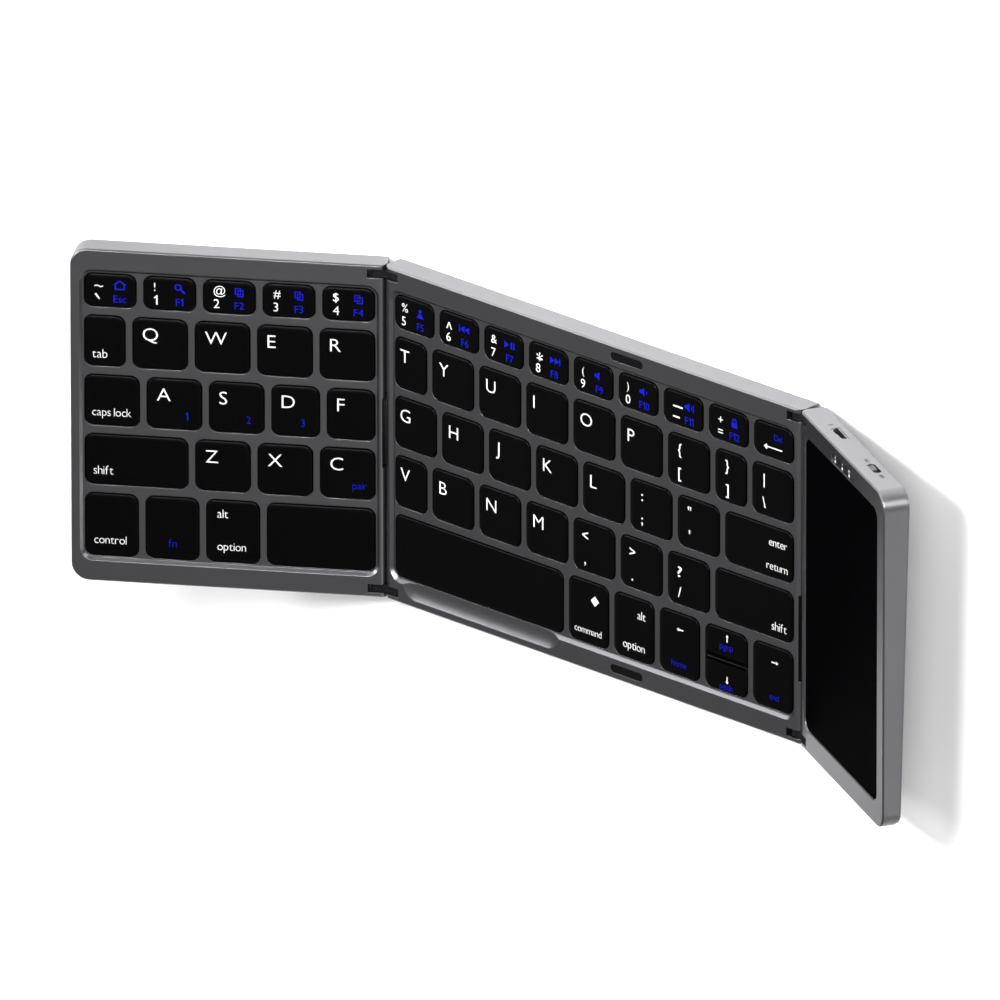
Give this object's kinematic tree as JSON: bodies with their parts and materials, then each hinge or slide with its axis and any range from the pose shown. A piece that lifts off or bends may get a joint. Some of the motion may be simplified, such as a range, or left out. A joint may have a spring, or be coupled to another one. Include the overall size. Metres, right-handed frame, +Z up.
{
  "type": "folding keyboard",
  "caption": "Three-panel folding keyboard: keys on the middle and left panels, a touchpad on the right one, each outer panel on two-pin link hinges.",
  "frame": {"origin": "on the surface the keyboard stands on, below the middle of the middle panel's top face", "axes": "+X to the right along the key rows, +Y to the rear, +Z up"},
  "size_m": [0.2872, 0.0993, 0.0558],
  "materials": {
    "frame_metal": "dark grey anodised, fine blast",
    "cover_metal": "dark grey anodised, fine blast",
    "foot_rubber": "matt",
    "screw_steel": "black screws' steel, plain",
    "plate_steel": "plain sheet",
    "membrane_film": "printed film",
    "dome_rubber": "silicone, cloudy",
    "pin_steel": "ground",
    "magnet": "nickel plated",
    "black_plastic": "smooth, half matt",
    "key_plastic": "smooth, soft sheen",
    "link_metal": "black, half matt",
    "flex_film": "black elastomer",
    "pad_glass": "black backed glass, fine etched",
    "board": "solder resist",
    "light": "clear light pipe",
    "socket_steel": "drawn shell",
    "switch_body": "moulded",
    "knob_plastic": "moulded",
    "battery_foil": "pouch foil"
  },
  "bodies": {
    "middle_panel": {"middle_frame": "frame_metal", "middle_cover": "cover_metal", "middle_feet": "foot_rubber", "middle_screws": "screw_steel", "middle_key_plate": "plate_steel", "middle_membrane": "membrane_film", "middle_domes": "dome_rubber", "middle_hinge_pins": "pin_steel", "seam_inserts": "black_plastic", "seam_magnets": "magnet"},
    "left_links": {"left_rear_link": "link_metal", "left_front_link": "link_metal", "left_flex": "flex_film"},
    "left_panel": {"left_frame": "frame_metal", "left_cover": "cover_metal", "left_feet": "foot_rubber", "left_screws": "screw_steel", "left_key_plate": "plate_steel", "left_membrane": "membrane_film", "left_domes": "dome_rubber", "left_hinge_pins": "pin_steel"},
    "right_links": {"right_rear_link": "link_metal", "right_front_link": "link_metal", "right_flex": "flex_film"},
    "right_panel": {"right_frame": "frame_metal", "right_cover": "cover_metal", "right_feet": "foot_rubber", "right_screws": "screw_steel", "right_hinge_pins": "pin_steel", "touchpad_glass": "pad_glass", "touchpad_board": "board", "indicator_lens": "black_plastic", "indicator_lights": "light", "main_board": "board", "charging_socket": "socket_steel", "slide_switch": "switch_body", "battery": "battery_foil"},
    "middle_number_keys": {"middle_number_keys": "key_plastic"},
    "middle_top_keys": {"middle_top_keys": "key_plastic"},
    "middle_home_keys": {"middle_home_keys": "key_plastic"},
    "enter_key": {"enter_key": "key_plastic"},
    "middle_bottom_keys": {"middle_bottom_keys": "key_plastic"},
    "right_shift_key": {"right_shift_key": "key_plastic"},
    "space_bar": {"space_bar": "key_plastic"},
    "middle_modifier_keys": {"middle_modifier_keys": "key_plastic"},
    "arrow_left_key": {"arrow_left_key": "key_plastic"},
    "arrow_up_key": {"arrow_up_key": "key_plastic"},
    "arrow_down_key": {"arrow_down_key": "key_plastic"},
    "arrow_right_key": {"arrow_right_key": "key_plastic"},
    "left_number_keys": {"left_number_keys": "key_plastic"},
    "left_top_keys": {"left_top_keys": "key_plastic"},
    "left_home_keys": {"left_home_keys": "key_plastic"},
    "left_shift_key": {"left_shift_key": "key_plastic"},
    "left_bottom_keys": {"left_bottom_keys": "key_plastic"},
    "left_modifier_keys": {"left_modifier_keys": "key_plastic"},
    "left_space_key": {"left_space_key": "key_plastic"},
    "switch_knob": {"switch_knob": "knob_plastic"}
  },
  "joints": [
    {"name": "left_link_turn", "type": "hinge", "parent": "middle_panel", "child": "left_links", "pos_m": [-0.0728, 0.00006, 0.00485], "axis": [0, 0.9997, 0.0255], "range_deg": [-16.7, 73.3], "deforming": ["left_flex"]},
    {"name": "left_panel_turn", "type": "hinge", "parent": "left_links", "child": "left_panel", "pos_m": [-0.07931, 0.00001, 0.0068], "axis": [0, 0.9997, 0.0255], "range_deg": [-16.7, 73.3]},
    {"name": "right_link_turn", "type": "hinge", "parent": "middle_panel", "child": "right_links", "pos_m": [0.0728, 0.00006, 0.00485], "axis": [0, -0.9997, -0.0255], "range_deg": [-13.9, 76.1], "deforming": ["right_flex"]},
    {"name": "right_panel_turn", "type": "hinge", "parent": "right_links", "child": "right_panel", "pos_m": [0.0794, 0.00002, 0.00648], "axis": [0, -0.9997, -0.0255], "range_deg": [-13.9, 76.1]},
    {"name": "middle_number_keys_press", "type": "slide", "parent": "middle_panel", "child": "middle_number_keys", "axis": [0, 0.0255, -0.9997], "range_m": [0, 0.0012], "stiffness_N_per_m": 3600, "springref_m": -0.0003, "deforming": ["middle_domes"]},
    {"name": "middle_top_keys_press", "type": "slide", "parent": "middle_panel", "child": "middle_top_keys", "axis": [0, 0.0255, -0.9997], "range_m": [0, 0.0012], "stiffness_N_per_m": 3600, "springref_m": -0.0003, "deforming": ["middle_domes"]},
    {"name": "middle_home_keys_press", "type": "slide", "parent": "middle_panel", "child": "middle_home_keys", "axis": [0, 0.0255, -0.9997], "range_m": [0, 0.0012], "stiffness_N_per_m": 2800, "springref_m": -0.0003, "deforming": ["middle_domes"]},
    {"name": "enter_key_press", "type": "slide", "parent": "middle_panel", "child": "enter_key", "axis": [0, 0.0255, -0.9997], "range_m": [0, 0.0012], "stiffness_N_per_m": 400, "springref_m": -0.0003, "deforming": ["middle_domes"]},
    {"name": "middle_bottom_keys_press", "type": "slide", "parent": "middle_panel", "child": "middle_bottom_keys", "axis": [0, 0.0255, -0.9997], "range_m": [0, 0.0012], "stiffness_N_per_m": 2800, "springref_m": -0.0003, "deforming": ["middle_domes"]},
    {"name": "right_shift_key_press", "type": "slide", "parent": "middle_panel", "child": "right_shift_key", "axis": [0, 0.0255, -0.9997], "range_m": [0, 0.0012], "stiffness_N_per_m": 400, "springref_m": -0.0003, "deforming": ["middle_domes"]},
    {"name": "space_bar_press", "type": "slide", "parent": "middle_panel", "child": "space_bar", "axis": [0, 0.0255, -0.9997], "range_m": [0, 0.0012], "stiffness_N_per_m": 400, "springref_m": -0.0003, "deforming": ["middle_domes"]},
    {"name": "middle_modifier_keys_press", "type": "slide", "parent": "middle_panel", "child": "middle_modifier_keys", "axis": [0, 0.0255, -0.9997], "range_m": [0, 0.0012], "stiffness_N_per_m": 800, "springref_m": -0.0003, "deforming": ["middle_domes"]},
    {"name": "arrow_left_key_press", "type": "slide", "parent": "middle_panel", "child": "arrow_left_key", "axis": [0, 0.0255, -0.9997], "range_m": [0, 0.0012], "stiffness_N_per_m": 400, "springref_m": -0.0003, "deforming": ["middle_domes"]},
    {"name": "arrow_up_key_press", "type": "slide", "parent": "middle_panel", "child": "arrow_up_key", "axis": [0, 0.0255, -0.9997], "range_m": [0, 0.0012], "stiffness_N_per_m": 400, "springref_m": -0.0003, "deforming": ["middle_domes"]},
    {"name": "arrow_down_key_press", "type": "slide", "parent": "middle_panel", "child": "arrow_down_key", "axis": [0, 0.0255, -0.9997], "range_m": [0, 0.0012], "stiffness_N_per_m": 400, "springref_m": -0.0003, "deforming": ["middle_domes"]},
    {"name": "arrow_right_key_press", "type": "slide", "parent": "middle_panel", "child": "arrow_right_key", "axis": [0, 0.0255, -0.9997], "range_m": [0, 0.0012], "stiffness_N_per_m": 400, "springref_m": -0.0003, "deforming": ["middle_domes"]},
    {"name": "left_number_keys_press", "type": "slide", "parent": "left_panel", "child": "left_number_keys", "axis": [-0.5505, 0.0213, -0.8346], "range_m": [0, 0.0012], "stiffness_N_per_m": 2000, "springref_m": -0.0003, "deforming": ["left_domes"]},
    {"name": "left_top_keys_press", "type": "slide", "parent": "left_panel", "child": "left_top_keys", "axis": [-0.5505, 0.0213, -0.8346], "range_m": [0, 0.0012], "stiffness_N_per_m": 2000, "springref_m": -0.0003, "deforming": ["left_domes"]},
    {"name": "left_home_keys_press", "type": "slide", "parent": "left_panel", "child": "left_home_keys", "axis": [-0.5505, 0.0213, -0.8346], "range_m": [0, 0.0012], "stiffness_N_per_m": 2000, "springref_m": -0.0003, "deforming": ["left_domes"]},
    {"name": "left_shift_key_press", "type": "slide", "parent": "left_panel", "child": "left_shift_key", "axis": [-0.5505, 0.0213, -0.8346], "range_m": [0, 0.0012], "stiffness_N_per_m": 400, "springref_m": -0.0003, "deforming": ["left_domes"]},
    {"name": "left_bottom_keys_press", "type": "slide", "parent": "left_panel", "child": "left_bottom_keys", "axis": [-0.5505, 0.0213, -0.8346], "range_m": [0, 0.0012], "stiffness_N_per_m": 1200, "springref_m": -0.0003, "deforming": ["left_domes"]},
    {"name": "left_modifier_keys_press", "type": "slide", "parent": "left_panel", "child": "left_modifier_keys", "axis": [-0.5505, 0.0213, -0.8346], "range_m": [0, 0.0012], "stiffness_N_per_m": 1200, "springref_m": -0.0003, "deforming": ["left_domes"]},
    {"name": "left_space_key_press", "type": "slide", "parent": "left_panel", "child": "left_space_key", "axis": [-0.5505, 0.0213, -0.8346], "range_m": [0, 0.0012], "stiffness_N_per_m": 400, "springref_m": -0.0003, "deforming": ["left_domes"]},
    {"name": "switch_slide", "type": "slide", "parent": "right_panel", "child": "switch_knob", "axis": [0.8846, -0.0119, 0.4662], "range_m": [0, 0.0024]}
  ],
  "couplings": [
    {"joint": "left_panel_turn", "follows": "left_link_turn", "ratio": 1},
    {"joint": "right_panel_turn", "follows": "right_link_turn", "ratio": 1}
  ]
}
